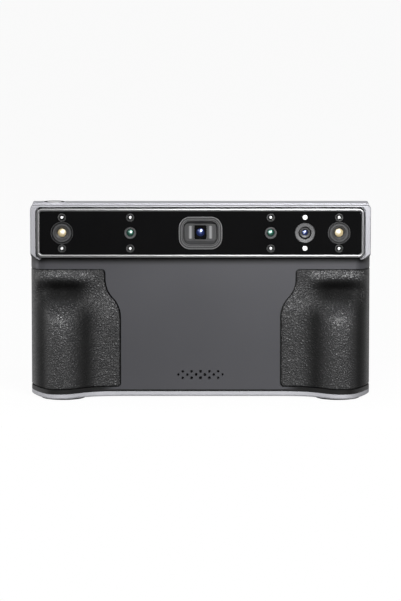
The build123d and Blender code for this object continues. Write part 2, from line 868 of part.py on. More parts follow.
def casing_slope(inset):
    """The wedge cut off above the sloped rear edge, moved in by an inset."""
    slope_low = roof_height - slope_height
    reach = screen_thickness + screen_gap
    flat_back = button_depth + collar_radius
    with BuildPart() as wedge:
        with BuildSketch(Plane.YZ.offset(-body_width)) as outline:
            with BuildLine():
                Polyline(
                    (back_y - inset, slope_low - inset),
                    (back_y - reach - inset, roof_height - roof_fall - inset / 2),
                    (flat_back, roof_height),
                    (flat_back, roof_height + slope_height),
                    (back_y + slope_height, roof_height + slope_height),
                    (back_y + slope_height, slope_low - inset),
                    close=True,
                )
            make_face()
            fillet(outline.vertices().sort_by(Axis.Y)[0:2].sort_by(Axis.X)[0], slope_rounding)
        extrude(amount=2 * body_width)
    return wedge.part


# Rear casing: the silver shell, with the bed of the screen, its holes, bosses and pillars
screen_bed = screen_width / 2 + screen_side_gap
rear_posts = [(side * base_screw_offset, rear_base_y) for _, side in sides]
standoffs = [
    (side * (board_width / 2 - standoff_inset), z)
    for _, side in sides
    for z in (board_low + standoff_inset, board_high - standoff_inset)
]
wing_board_back = wall_inside + small_board_thickness
key_x = -key_offset
usb_x = casing_half - usb_setback - usb_length
wing_x = casing_half - shell_wall - wing_gap - wing_board_width / 2
wing_boards = [(-wing_x, key_height), (wing_x, usb_height)]
pillar_inset = pillar_radius + small_board_thickness
wing_pillars = [
    (x, z + rise)
    for x, z in wing_boards
    for rise in (wing_board_height / 2 - pillar_inset, pillar_inset - wing_board_height / 2)
]
collar_bore = button_radius + button_gap
sleeve_radius = collar_bore + collar_sleeve
sleeve_low = roof_inside - collar_tail
button_low = sleeve_low - button_gap - button_flange_height
button_x = -button_offset
plunger_top = button_low - button_travel - switch_play
switch_board_top = plunger_top - plunger_height - switch_height
roof_pillars = [(button_x + side * (sleeve_radius + 2 * pillar_radius), button_depth) for _, side in sides]
usb_y = wall_inside - usb_thickness / 2
with BuildPart() as casing_hollow:
    extrude(casing_plan(shell_wall, plate_top - clear), amount=roof_inside - plate_top + clear)
    block((-screen_bed - shell_wall, screen_bed + shell_wall), (wall_inside, back_y),
          (0, roof_height), Mode.SUBTRACT)
    add(casing_slope(shell_wall), mode=Mode.SUBTRACT)
with BuildPart() as rear_housing:
    extrude(casing_plan(0.0, plate_top), amount=roof_height - plate_top)
    fillet(rear_housing.faces().sort_by(Axis.Z)[-1].edges().sort_by(Axis.Y)[1:], roof_rounding)
    add(casing_slope(0.0), mode=Mode.SUBTRACT)
    add(casing_hollow.part, mode=Mode.SUBTRACT)
    block((-half_width, half_width), (frame_back - clear, parting_y), (0, ear_top), Mode.SUBTRACT)
    block((-half_width + frame_cheek, half_width - frame_cheek),
          (frame_back - clear, frame_back + shell_wall), (0, roof_inside), Mode.SUBTRACT)
    bed_height = 2 * roof_height
    bed_low = screen_low - screen_side_gap
    slab(0, bed_low + bed_height / 2, 2 * screen_bed, bed_height, screen_corner + screen_side_gap,
         (recess_y, back_y + clear), Mode.SUBTRACT)
    slab(0, bed_low, finger_notch_width, 2 * finger_notch_drop, finger_notch_corner,
         (back_y - finger_notch_depth, back_y + clear), Mode.SUBTRACT)
    for x, y in rear_posts:
        rod_up(x, y, post_radius, (plate_top, plate_top + base_post_height))
        rod_up(x, y, screw_radius, (plate_top, plate_top + screw_length), Mode.SUBTRACT)
    for x, z in standoffs:
        rod_back(x, z, standoff_radius, (board_back, wall_inside + clear))
        rod_back(x, z, screw_radius, (board_back, wall_inside), Mode.SUBTRACT)
    for x, z in wing_pillars:
        rod_back(x, z, pillar_radius, (wing_board_back, wing_inside + clear))
    for x, y in roof_pillars:
        rod_up(x, y, pillar_radius, (switch_board_top, roof_inside + clear))
    for x, z in posts:
        rod_back(x, z, screw_radius, (wall_inside - clear, recess_y + clear), Mode.SUBTRACT)
        rod_back(x, z, screw_head_radius, (recess_y - screw_head_height, recess_y + clear), Mode.SUBTRACT)
    rod_up(button_x, button_depth, sleeve_radius, (roof_inside - clear, roof_height + clear),
           Mode.SUBTRACT)
    rod_back(key_x, key_height, key_radius + button_gap, (wing_inside - clear, back_y + clear),
             Mode.SUBTRACT)
    usb_slot_half = usb_width / 2 + usb_slot_gap
    block((usb_x, half_width + clear),
          (wall_inside - usb_thickness - usb_slot_gap, wall_inside + usb_slot_gap),
          (usb_height - usb_slot_half, usb_height + usb_slot_half), Mode.SUBTRACT)
finish(rear_housing.part, "rear_housing")

# Scan button: a polished cap that slides in a dished collar, over a switch on its own board
collar_top = roof_height + collar_rise
with BuildPart() as scan_collar:
    rod_up(button_x, button_depth, collar_radius, (roof_height, collar_top))
    rod_up(button_x, button_depth, sleeve_radius, (sleeve_low, collar_top))
    rod_up(button_x, button_depth, collar_bore, (sleeve_low - clear, collar_top + clear), Mode.SUBTRACT)
    collar_mouth = scan_collar.faces().sort_by(Axis.Z)[-1].inner_wires()[0].edges()
    chamfer(collar_mouth, collar_radius - collar_bore - collar_rim, collar_rise)
finish(scan_collar.part, "scan_collar")
with BuildPart() as scan_button:
    rod_up(button_x, button_depth, button_radius, (button_low, collar_top))
    fillet(scan_button.faces().sort_by(Axis.Z)[-1].edges(), button_dome)
    rod_up(button_x, button_depth, button_radius + button_flange,
           (button_low, button_low + button_flange_height))
finish(scan_button.part, "scan_button")
switch_reach = roof_pillars[1][0] - button_x + pillar_radius
switch_reach_y = switch_size / 2 + switch_board_margin
with BuildPart() as scan_board:
    block((button_x - switch_reach, button_x + switch_reach),
          (button_depth - switch_reach_y, button_depth + switch_reach_y),
          (switch_board_top - small_board_thickness, switch_board_top))
finish(scan_board.part, "scan_board")
with BuildPart() as scan_switch:
    block((button_x - switch_size / 2, button_x + switch_size / 2),
          (button_depth - switch_size / 2, button_depth + switch_size / 2),
          (switch_board_top, switch_board_top + switch_height))
    rod_up(button_x, button_depth, plunger_radius, (switch_board_top, plunger_top))
finish(scan_switch.part, "scan_switch")

# Power key in the back, over a switch on the wing board
key_y = back_y - key_recess
key_back = wing_inside - button_gap - button_flange_height
with BuildPart() as power_key:
    rod_back(key_x, key_height, key_radius, (key_back, key_y))
    fillet(power_key.faces().sort_by(Axis.Y)[-1].edges(), button_dome)
    rod_back(key_x, key_height, key_radius + button_flange, (key_back, key_back + button_flange_height))
finish(power_key.part, "power_key")
with BuildPart() as power_switch:
    key_plunger = key_back - key_travel - switch_play
    slab(key_x, key_height, switch_size, switch_size, switch_corner,
         (wing_board_back, key_plunger - plunger_height))
    rod_back(key_x, key_height, plunger_radius, (wing_board_back, key_plunger))
finish(power_switch.part, "power_switch")
for name, place in zip(("power_board", "usb_board"), wing_boards):
    with BuildPart() as wing_board:
        slab(place[0], place[1], wing_board_width, wing_board_height, small_board_thickness,
             (wall_inside, wing_board_back))
    finish(wing_board.part, name)

# Charging and data socket in the side
with BuildPart() as usb_socket:
    with BuildSketch(Plane.YZ.offset(usb_x)) as shell_outline:
        with Locations((usb_y, usb_height)):
            RectangleRounded(usb_thickness, usb_width, usb_thickness / 2 - usb_wall)
    extrude(shell_outline.sketch, amount=usb_length)
    with BuildSketch(Plane.YZ.offset(usb_x + usb_floor)) as mouth:
        with Locations((usb_y, usb_height)):
            RectangleRounded(
                usb_thickness - 2 * usb_wall,
                usb_width - 2 * usb_wall,
                usb_thickness / 2 - 2 * usb_wall,
            )
    extrude(mouth.sketch, amount=usb_length, mode=Mode.SUBTRACT)
    block((usb_x, usb_x + usb_length - usb_floor), (usb_y - usb_tongue / 2, usb_y + usb_tongue / 2),
          (usb_height - usb_tongue_half, usb_height + usb_tongue_half))
finish(usb_socket.part, "usb_socket")

# Main board with its shield can and heat spreader
with BuildPart() as main_board:
    board_middle = (board_low + board_high) / 2
    slab(0, board_middle, board_width, board_high - board_low, board_thickness, (board_front, board_back))
    for x, z in standoffs:
        rod_back(x, z, screw_radius, (board_front - clear, board_back + clear), Mode.SUBTRACT)
finish(main_board.part, "main_board")
with BuildPart() as shield_can:
    slab(0, board_middle, can_width, can_height, can_corner, (board_back, board_back + can_depth))
finish(shield_can.part, "shield_can")
with BuildPart() as heat_spreader:
    slab(0, board_middle, spreader_width, spreader_height, spreader_corner,
         (board_back + can_depth, wall_inside))
finish(heat_spreader.part, "heat_spreader")

# Battery and speaker behind the front panel
with BuildPart() as battery_pack:
    slab(0, battery_low + battery_height / 2, battery_width, battery_height, board_thickness,
         (pocket_y, pocket_y + battery_depth))
finish(battery_pack.part, "battery_pack")
with BuildPart() as speaker_mesh:
    slab(0, speaker_height, speaker_width, speaker_body_height, speaker_corner,
         (pocket_y, pocket_y + mesh_thickness))
finish(speaker_mesh.part, "speaker_mesh")
with BuildPart() as speaker:
    speaker_y = pocket_y + mesh_thickness
    slab(0, speaker_height, speaker_width, speaker_body_height, speaker_corner,
         (speaker_y, speaker_y + speaker_depth))
finish(speaker.part, "speaker")

# Folding screen: a tray with the display and its glass, and a driver board
screen_middle = (screen_low + screen_top) / 2
glass_y = back_y - glass_thickness
tray_floor = screen_y + screen_wall
with BuildPart() as screen_cover:
    slab(0, screen_middle, screen_width, screen_height, screen_corner, (screen_y, glass_y))
    fillet(screen_cover.faces().sort_by(Axis.Y)[0].edges(), screen_rounding)
    slab(0, screen_middle, screen_width - 2 * screen_wall, screen_height - 2 * screen_wall,
         screen_corner - screen_wall, (tray_floor, glass_y + clear), Mode.SUBTRACT)
    slab(0, screen_middle, screen_board_width / 2, screen_board_height / 2, screen_corner,
         (tray_floor, tray_floor + screen_pad))
finish(screen_cover.part, "screen_cover")
with BuildPart() as screen_board:
    board_y = tray_floor + screen_pad
    slab(0, screen_middle, screen_board_width, screen_board_height, board_thickness,
         (board_y, board_y + small_board_thickness))
finish(screen_board.part, "screen_board")
with BuildPart() as screen_panel:
    slab(0, screen_middle, screen_width - 2 * (screen_wall + display_margin / 2),
         screen_height - 2 * (screen_wall + display_margin / 2), screen_corner - screen_wall,
         (glass_y - display_thickness, glass_y))
finish(screen_panel.part, "screen_panel")
with BuildPart() as screen_glass:
    slab(0, screen_middle, screen_width - 2 * glass_inset, screen_height - 2 * glass_inset,
         screen_corner - glass_inset, (glass_y, back_y))
    chamfer(screen_glass.faces().sort_by(Axis.Y)[-1].edges(), glass_inset)
finish(screen_glass.part, "screen_glass")


def bar_across(x_limits, radius, mode=Mode.ADD):
    """A round bar along x on the hinge's axis."""
    with BuildSketch(Plane.YZ.offset(x_limits[0])) as outline:
        with Locations((hinge_y, hinge_z)):
            Circle(radius)
    extrude(outline.sketch, amount=x_limits[1] - x_limits[0], mode=mode)


# Hinge: a barrel on the screen turns on two pins that the casing's brackets hold
barrel_limits = (-barrel_half_length, barrel_half_length)
with BuildPart() as hinge_barrel:
    bar_across(barrel_limits, hinge_radius)
    block(barrel_limits, (screen_y + barrel_web_inset, back_y - barrel_web_inset), (screen_top, hinge_z))
    bar_across((barrel_limits[0] - clear, barrel_limits[1] + clear), pin_radius + pin_gap, Mode.SUBTRACT)
finish(hinge_barrel.part, "hinge_barrel")
knuckle_start = barrel_half_length + knuckle_gap
knuckle_end = knuckle_start + knuckle_length
foot_end = knuckle_end + bracket_foot_length
bracket_heights = (hinge_z - bracket_half_height, hinge_z + bracket_half_height)
hinge_screw_x = knuckle_end + bracket_foot_length / 2
foot_back = recess_y + bracket_foot_thickness
for name, side in sides:
    with BuildPart() as hinge_bracket:
        knuckle = sorted((side * knuckle_start, side * knuckle_end))
        foot_limits = sorted((side * knuckle_start, side * foot_end))
        bar_across(knuckle, hinge_radius)
        block(knuckle, (recess_y, hinge_y), bracket_heights)
        block(foot_limits, (recess_y, foot_back), bracket_heights)
        bar_across((knuckle[0] - clear, knuckle[1] + clear), pin_radius, Mode.SUBTRACT)
        rod_back(side * hinge_screw_x, hinge_z, screw_radius, (recess_y - clear, foot_back + clear),
                 Mode.SUBTRACT)
    finish(hinge_bracket.part, f"hinge_bracket_{name}")
with BuildPart() as hinge_pins:
    for _, side in sides:
        bar_across(sorted((side * (barrel_half_length - pin_engagement), side * knuckle_end)), pin_radius)
finish(hinge_pins.part, "hinge_pins")


def screw_back(x, z, head_y, length):
    """A screw driven along y towards the front, with its head at the back."""
    rod_back(x, z, screw_head_radius, (head_y - screw_head_height, head_y))
    rod_back(x, z, screw_radius, (head_y - screw_head_height - length, head_y - screw_head_height))


# Screws, as groups of like ones
with BuildPart() as casing_screws:
    for x, z in posts:
        screw_back(x, z, recess_y, screw_length)
finish(casing_screws.part, "casing_screws")
with BuildPart() as hinge_screws:
    for _, side in sides:
        screw_back(side * hinge_screw_x, hinge_z, foot_back + screw_head_height, bracket_foot_thickness)
finish(hinge_screws.part, "hinge_screws")
with BuildPart() as bracket_screws:
    for x, z in frame_screws:
        screw_back(x, z, bracket_back + screw_head_height, bracket_thickness + screw_head_height)
finish(bracket_screws.part, "bracket_screws")
with BuildPart() as board_screws:
    for x, z in standoffs:
        rod_back(x, z, screw_head_radius, (board_front - screw_head_height, board_front))
        rod_back(x, z, screw_radius, (board_front, wall_inside - board_screw_tip))
finish(board_screws.part, "board_screws")
with BuildPart() as base_plate_screws:
    for x, y in base_screws:
        rod_up(x, y, screw_head_radius, (plate_low, plate_low + screw_head_height))
        rod_up(x, y, screw_radius,
               (plate_low + screw_head_height, plate_top + screw_length - board_screw_tip))
finish(base_plate_screws.part, "base_plate_screws")
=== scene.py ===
# %% [markdown]
# A hand-held 3-D scanner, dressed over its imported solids. The solids give the true sizes, so this
# file starts by loading them and only adds finishes, and skins where a flat finish is not enough.

# %% Load the solids
import math

import bpy
import numpy as np
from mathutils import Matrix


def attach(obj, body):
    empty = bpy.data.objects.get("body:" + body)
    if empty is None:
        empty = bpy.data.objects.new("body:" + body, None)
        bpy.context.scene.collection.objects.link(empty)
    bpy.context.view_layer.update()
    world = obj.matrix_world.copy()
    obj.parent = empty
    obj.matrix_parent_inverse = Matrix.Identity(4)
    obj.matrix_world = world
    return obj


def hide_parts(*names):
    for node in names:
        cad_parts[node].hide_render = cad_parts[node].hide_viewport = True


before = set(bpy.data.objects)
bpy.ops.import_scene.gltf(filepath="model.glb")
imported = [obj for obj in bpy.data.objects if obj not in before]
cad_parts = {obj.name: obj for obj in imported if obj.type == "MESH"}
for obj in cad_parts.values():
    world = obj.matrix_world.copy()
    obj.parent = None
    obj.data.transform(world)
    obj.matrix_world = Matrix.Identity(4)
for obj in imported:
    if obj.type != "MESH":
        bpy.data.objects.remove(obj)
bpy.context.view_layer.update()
MM = 0.001

# %% [markdown]
# A finish often needs to know where a solid lies: the axis of a lens, the edge of the bezel. The
# box of each solid tells, so the main sizes aren't written a second time, and the looks follow the
# frame. Sizes that no box shows, such as the radius of a corner, are named where they are needed.


# %% Where a solid lies
def span(name):
    """The lowest and the highest corner of a solid's box, in millimetres."""
    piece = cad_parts[name]
    corners = np.c_[np.array(piece.bound_box), np.ones(8)] @ np.array(piece.matrix_world).T
    corners = (corners[:, :3] / MM).round(2)
    return corners.min(axis=0).tolist(), corners.max(axis=0).tolist()


def middle(name):
    """The middle of a solid's box, in millimetres."""
    return [(low + high) / 2 for low, high in zip(*span(name))]


print("window bezel from", *span("window_bezel"))

# %% [markdown]
# Shader sums read best as plain sums. This small class wraps a socket so that `1 - mask` or
# `grain * 0.3` adds the Math node for it. `Nodes` makes any other node from one method, and `Finish`
# is a material that is built with it.


# %% A socket that can be used in sums
class Value:
    """A number that a node gives out; sums with it add Math nodes."""

    def __init__(self, finish, socket):
        self.finish = finish
        self.socket = socket

    def sum(self, operation, first, second=0.0):
        """One Math node of an operation on two values."""
        node = self.finish.node("ShaderNodeMath", {"operation": operation}, {0: first, 1: second})
        return Value(self.finish, node.outputs[0])

    def __add__(self, other):
        return self.sum("ADD", self, other)

    def __sub__(self, other):
        return self.sum("SUBTRACT", self, other)

    def __mul__(self, other):
        return self.sum("MULTIPLY", self, other)

    def __truediv__(self, other):
        return self.sum("DIVIDE", self, other)

    def __rsub__(self, other):
        return self.sum("SUBTRACT", other, self)

    def __rtruediv__(self, other):
        return self.sum("DIVIDE", other, self)

    __radd__ = __add__
    __rmul__ = __mul__

    def power(self, other):
        """This value raised to a power."""
        return self.sum("POWER", self, other)

    def absolute(self):
        """This value without its sign."""
        return self.sum("ABSOLUTE", self)

    def larger(self, other):
        """The larger of this value and another."""
        return self.sum("MAXIMUM", self, other)

    def step(self, low, high):
        """A soft step from 0 at low to 1 at high."""
        node = self.finish.node(
            "ShaderNodeMapRange",
            {"interpolation_type": "SMOOTHSTEP"},
            {0: self, 1: low, 2: high, 3: 0.0, 4: 1.0},
        )
        return Value(self.finish, node.outputs[0])

    def rise(self, low_mm, high_mm):
        """A soft step between two places given in millimetres."""
        return self.step(low_mm * MM, high_mm * MM)


# %% Any other node
class Nodes:
    """A node tree, and the one method that adds to it."""

    def __init__(self, tree):
        self.tree = tree

    def node(self, kind, settings=None, inputs=None):
        """A node of a kind, with its settings, then the values or links of its sockets."""
        node = self.tree.nodes.new(kind)
        for name, value in (settings or {}).items():
            setattr(node, name, value)
        for name, value in (inputs or {}).items():
            if isinstance(value, Value):
                value = value.socket
            if isinstance(value, bpy.types.NodeSocket):
                self.tree.links.new(value, node.inputs[name])
            else:
                node.inputs[name].default_value = value
        return node

    def show(self, shader, output="Material Output"):
        """Make a shader the one that the tree puts out."""
        self.tree.links.new(shader.outputs[0], self.tree.nodes[output].inputs[0])


# %% A material made of nodes
class Finish(Nodes):
    """One material: its nodes, its object coordinates and its main shader."""

    def __init__(self, name, **fixed):
        self.material = bpy.data.materials.new(name)
        self.material.use_nodes = True
        super().__init__(self.material.node_tree)
        self.shader = self.tree.nodes["Principled BSDF"]
        for socket, value in fixed.items():
            self.shader.inputs[socket.replace("_", " ")].default_value = value
        self.place = self.node("ShaderNodeTexCoord").outputs["Object"]

    def noise(self, size_mm, detail=3.0):
        """Cloudy noise whose blotches are about a size in millimetres."""
        settings = {"Vector": self.place, "Scale": 1.0 / (size_mm * MM), "Detail": detail}
        return Value(self, self.node("ShaderNodeTexNoise", None, settings).outputs[0])

    def cells(self, size_mm, feature, place=None):
        """Distance in a pattern of cells of about a size in millimetres."""
        settings = {"Vector": place or self.place, "Scale": 1.0 / (size_mm * MM)}
        node = self.node("ShaderNodeTexVoronoi", {"feature": feature}, settings)
        return Value(self, node.outputs["Distance"])

    def axis(self, index):
        """One coordinate of the place on the piece, in metres."""
        node = self.node("ShaderNodeSeparateXYZ", None, {0: self.place})
        return Value(self, node.outputs[index])

    def radius(self, axes, centre_mm, mirrored=False):
        """Distance over two axes from a centre; mirrored takes the first axis without its sign."""
        along, beside = (self.axis(index) for index in axes)
        if mirrored:
            along = along.absolute()
        along = along - centre_mm[0] * MM
        beside = beside - centre_mm[1] * MM
        return (along * along + beside * beside).power(0.5)

    def mix(self, share, first, second):
        """A blend of two colours by a share."""
        node = self.node("ShaderNodeMix", {"data_type": "RGBA"}, {0: share, 6: first, 7: second})
        return node.outputs[2]

    def colour(self, tone):
        """Feed the base colour, and keep its socket so that a later step can paint over it."""
        self.tone = tone
        self.tree.links.new(tone, self.shader.inputs["Base Color"])

    def rough(self, value):
        """Feed the roughness."""
        self.tree.links.new(value.socket, self.shader.inputs["Roughness"])

    def bump(self, height, depth_mm, strength=1.0):
        """Raise the surface by a height between 0 and 1 times a depth in millimetres."""
        settings = {"Height": height, "Distance": depth_mm * MM, "Strength": strength}
        node = self.node("ShaderNodeBump", None, settings)
        self.tree.links.new(node.outputs[0], self.shader.inputs["Normal"])


def grey(level, tint=0.0):
    """A grey in linear light, with a little more blue for a positive tint."""
    return (level, level, level * (1.0 + tint), 1.0)


def dress(finish, *nodes):
    """Give solids a finish, in the material slot of each object, which leaves its mesh alone."""
    for name in nodes:
        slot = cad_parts[name].material_slots[0]
        slot.link = "OBJECT"
        slot.material = finish.material


# %% [markdown]
# The camera stands square to the front, a little above it and far away, because the photograph
# shows hardly any perspective. The picture is 401 by 601 pixels, and its long side takes up the
# whole sensor, so the lens follows from the distance and the size of one pixel.

# %% Camera
PICTURE_HEIGHT = 601
PIXEL = 0.6212 * MM
DISTANCE = 2.5
ELEVATION = math.radians(7.5)
AIM = (0.0, 0.0, 0.05925)
scene = bpy.context.scene


def join_scene(name, data):
    """Put new data into the scene as an object at the origin."""
    piece = bpy.data.objects.new(name, data)
    scene.collection.objects.link(piece)
    return piece


camera = join_scene("camera", bpy.data.cameras.new("camera"))
camera.location = (0.0, -DISTANCE * math.cos(ELEVATION), AIM[2] + DISTANCE * math.sin(ELEVATION))
camera.rotation_euler = (math.pi / 2 - ELEVATION, 0.0, 0.0)
camera.data.sensor_width = 36.0
camera.data.lens = 36.0 * DISTANCE / (PICTURE_HEIGHT * PIXEL)
scene.camera = camera
scene.view_settings.view_transform = "Standard"
print("lens", round(camera.data.lens, 1), "mm")

# %% [markdown]
# A studio table in a dim room. A small lamp stands close to the front, right of the middle, and
# makes the rubber sparkle, and a weaker one fills in from the left. Two wide lamps hang high, before
# and behind the part, for the faces that look up. One more at each side lights the cheeks. Big soft
# lamps are used there, because satin silver turns white under small strong ones.


# %% Lamps and room
def lamp(name, place, size, power):
    """A soft lamp of a width and a height that faces the part."""
    light = bpy.data.lights.new(name, "AREA")
    light.shape = "RECTANGLE"
    light.size, light.size_y = size
    light.energy = power
    piece = join_scene(name, light)
    piece.location = place
    away = np.array(place) - np.array(AIM)
    tilt = math.atan2(math.hypot(away[0], away[1]), away[2])
    piece.rotation_euler = (tilt, 0.0, math.atan2(away[1], away[0]) + math.pi / 2)


lamp("key_right", (0.10, -0.40, 0.25), (0.16, 0.16), 2.4)
lamp("left_front", (-0.45, -0.60, 0.40), (0.30, 0.30), 1.5)
lamp("front_high", (0.08, -0.80, 1.25), (0.80, 0.40), 4.5)
lamp("back_high", (-0.1, 0.60, 1.00), (1.60, 0.80), 3.6)
lamp("right_side", (0.95, 0.02, 0.25), (0.70, 0.80), 1.3)
lamp("left_side", (-0.95, 0.10, 0.25), (0.80, 0.90), 6.5)

world = bpy.data.worlds.new("dim_room")
scene.world = world
world.use_nodes = True
room = Nodes(world.node_tree)
dim = room.tree.nodes["Background"]
dim.inputs["Color"].default_value = grey(0.05, 0.01)
bright = room.node("ShaderNodeBackground", None, {"Color": grey(1.0)})
seen = room.node("ShaderNodeLightPath").outputs["Is Camera Ray"]
sides = {0: seen, 1: dim.outputs[0], 2: bright.outputs[0]}
room.show(room.node("ShaderNodeMixShader", None, sides), "World Output")
print("lamps:", bpy.data.lights.keys())

# %% [markdown]
# New pieces are grids of points, so one helper turns any grid into quads. The first is the paper
# sweep. The camera sees it as white, and metal and glass see it at half strength. To all other
# light it is dark grey: white paper would light the black rubber from below and make it look flat.
# Its front edge is close to the part for the same reason.


# %% Sheets of quads
def sheet(name, points, closed=False):
    """A mesh over a grid of points, rows by columns, in metres; closed joins it both ways round."""
    rows, columns = points.shape[:2]
    index = np.arange(rows * columns).reshape(rows, columns)
    if closed:
        index = np.pad(index, ((0, 1), (0, 1)), mode="wrap")
    quads = np.stack([index[:-1, :-1], index[:-1, 1:], index[1:, 1:], index[1:, :-1]], axis=-1)
    mesh = bpy.data.meshes.new(name)
    mesh.from_pydata(points.reshape(-1, 3), [], quads.reshape(-1, 4))
    mesh.polygons.foreach_set("use_smooth", np.ones(len(mesh.polygons), dtype=bool))
    mesh.update()
    return join_scene(name, mesh)


# %% White paper sweep
def sweep(front, bend, radius, top, half_width):
    """A floor that runs level to a bend, round a quarter circle, and then straight up."""
    angle = np.linspace(0.0, math.pi / 2, 24)
    depth = np.concatenate([[front], bend + radius * np.sin(angle), [bend + radius]])
    height = np.concatenate([[0.0], radius - radius * np.cos(angle), [top]])
    across = np.array([-half_width, half_width])
    x, y = np.meshgrid(across, depth)
    return np.stack([x, y, np.broadcast_to(height[:, None], x.shape)], axis=-1)


SEEN, MIRRORED = 0.95, 0.50
floor = sheet("floor", sweep(front=-0.12, bend=3.0, radius=0.6, top=2.5, half_width=1.2))
paper = Finish("white_paper", Roughness=0.9)
fibre = paper.noise(3.0, 4.0)
ray = paper.node("ShaderNodeLightPath")
kinds = ("Is Camera Ray", "Is Glossy Ray", "Is Transmission Ray")
camera_ray, glossy_ray, through_ray = (Value(paper, ray.outputs[kind]) for kind in kinds)
paper.colour(paper.mix(camera_ray, grey(0.10), paper.mix(fibre, grey(0.82), grey(0.86))))
glow = paper.node("ShaderNodeEmission", None, {"Color": grey(1.0), "Strength": 1.0})
shown = camera_ray * SEEN + (glossy_ray + through_ray) * MIRRORED
sides = {0: shown, 1: paper.shader.outputs[0], 2: glow.outputs[0]}
paper.show(paper.node("ShaderNodeMixShader", None, sides))
floor.data.materials.append(paper.material)
print("floor", [round(side, 2) for side in floor.dimensions], "m")

# %% [markdown]
# The casing is sprayed satin silver. Very fine flakes and a slow drift of roughness stop it from
# being one flat colour. The front panel is a graphite moulding with a spark-eroded grain. Shade is
# painted on it near black where hardly any light gets in: the shadow under the bezel, and the narrow
# gaps above the bottom band, round the grips and below them, all by soft steps of the coordinates.


# %% Casing finishes
(_, BEZEL_FRONT, BEZEL_LOW), (BEZEL_HALF, PANEL_Y, BEZEL_TOP) = span("window_bezel")
(FOOT_X, GRIP_FRONT, GRIP_LOW), (HALF, PARTING_Y, GRIP_TOP) = span("right_grip")
# Painted shade: the near-black grey that stands for shadow under the bezel and in narrow gaps.
GAP_SHADE = 0.008
LIP_END = BEZEL_HALF - 2.2
EAR_SLOPE, EAR_LINE = 0.75, 11.5
FRAME_LOW, BEZEL_SHADOW_DROP = span("front_frame")[0][2], 4.1
PANEL_SEAM = span("front_panel")[0][2] + 1.1
SHADED_DISH_RADIUS = 6.35


def satin_silver(name, level, metallic=0.6):
    """Sprayed silver: fine flakes in the colour, slow drift in the roughness."""
    finish = Finish(name, Metallic=metallic)
    flakes = finish.noise(0.25, 2.0)
    drift = finish.noise(30.0, 2.0)
    finish.colour(finish.mix(flakes, grey(level * 0.92, 0.06), grey(level * 1.08, 0.06)))
    finish.rough(0.50 + 0.10 * drift + 0.03 * flakes)
    return finish


def frame_silver():
    """Silver with painted shade: a near-black strip below the bezel, and dark undersides of the ears beside
    it.
    """
    finish = satin_silver("frame_silver", 0.375)
    aside = finish.axis(0).absolute()
    high = finish.axis(2)
    # Painted shade: the strip of the frame just below the bezel lies in the bezel's shadow and is painted
    # near black.
    lip = (1.0 - high.rise(BEZEL_LOW - 0.2, BEZEL_LOW + 0.2)) * (1.0 - aside.rise(LIP_END - 1.0, LIP_END))
    # Painted shade: the lower corners of the ears lie in shadow and are painted dark grey.
    ear_shade = 1.0 - (high - EAR_SLOPE * aside).rise(EAR_LINE, EAR_LINE + 0.4)
    finish.colour(finish.mix(ear_shade, finish.tone, grey(0.05, 0.02)))
    finish.colour(finish.mix(lip, finish.tone, grey(GAP_SHADE)))
    return finish


def bright_metal(name, level, rough):
    """Cut and polished metal with fine tool marks."""
    finish = Finish(name, Metallic=1.0)
    marks = finish.noise(0.4, 4.0)
    finish.colour(finish.mix(marks, grey(level * 0.97, 0.01), grey(level, 0.01)))
    finish.rough(rough + 0.03 * marks)
    return finish


def satin_graphite(name, gap_shading=False):
    """Dark grey satin moulding with a spark-eroded grain; on the panel, painted shade blackens the gaps and
    the band under the bezel.
    """
    finish = Finish(name, Metallic=0.45)
    grain = finish.noise(0.35, 3.0)
    drift = finish.noise(45.0, 2.0)
    tone = finish.mix(drift, grey(0.066, 0.10), grey(0.075, 0.10))
    if gap_shading:
        high = finish.axis(2)
        aside = finish.axis(0).absolute()
        # Painted shade: the top of the panel in the bezel's shadow, the seam above the bottom band, the bed
        # round the grips and the strip below them are painted near black.
        bezel_shadow = high.rise(FRAME_LOW - BEZEL_SHADOW_DROP, FRAME_LOW)
        seam_shade = 1.0 - high.rise(PANEL_SEAM, PANEL_SEAM + 0.3)
        bed_shade = finish.axis(1).rise(PANEL_Y + 0.2, PANEL_Y + 0.5) * (1.0 - high.rise(GRIP_TOP, GRIP_TOP + 0.2))
        under_grip_shade = (1.0 - high.rise(GRIP_LOW + 0.1, GRIP_LOW + 0.5)) * aside.rise(FOOT_X + 0.4, FOOT_X + 12.4)
        gap_shade = bezel_shadow.larger(seam_shade).larger(bed_shade).larger(under_grip_shade)
        tone = finish.mix(gap_shade, tone, grey(GAP_SHADE))
    finish.colour(tone)
    finish.rough(0.36 + 0.10 * grain + 0.04 * drift)
    finish.bump(grain, 0.02, 0.3)
    return finish


def collar_silver():
    """Silver rim with painted shade: the dish round the button is painted near black."""
    finish = satin_silver("collar_silver", 0.6)
    radius = finish.radius((0, 1), middle("scan_button"))
    # Painted shade: the deep dish between rim and button is painted near black.
    finish.colour(finish.mix(radius.rise(SHADED_DISH_RADIUS, SHADED_DISH_RADIUS + 0.25), grey(0.012), finish.tone))
    return finish


dress(satin_silver("satin_silver", 0.44), "rear_housing", "hinge_barrel")
dress(satin_silver("band_silver", 0.45, 0.3), "bottom_plate")
dress(frame_silver(), "front_frame")
dress(collar_silver(), "scan_collar")
dress(satin_graphite("panel_graphite", gap_shading=True), "front_panel")
dress(satin_graphite("satin_graphite"), "power_key", "screen_cover")
dress(bright_metal("polished_button", 0.95, 0.06), "scan_button")
print("grips from height", GRIP_LOW, "to", GRIP_TOP, "mm")

# %% [markdown]
# The bezel is a drawn metal strip with a soft crown, so light runs along it without a hard line.
# Its profile is a short list of points, and the same list goes round a rounded rectangle: in each
# corner the arc loses as much radius as the point lies inward. The outer wall stands in a dark gap, so
# it is painted near black as painted shade, and only the face is bright.

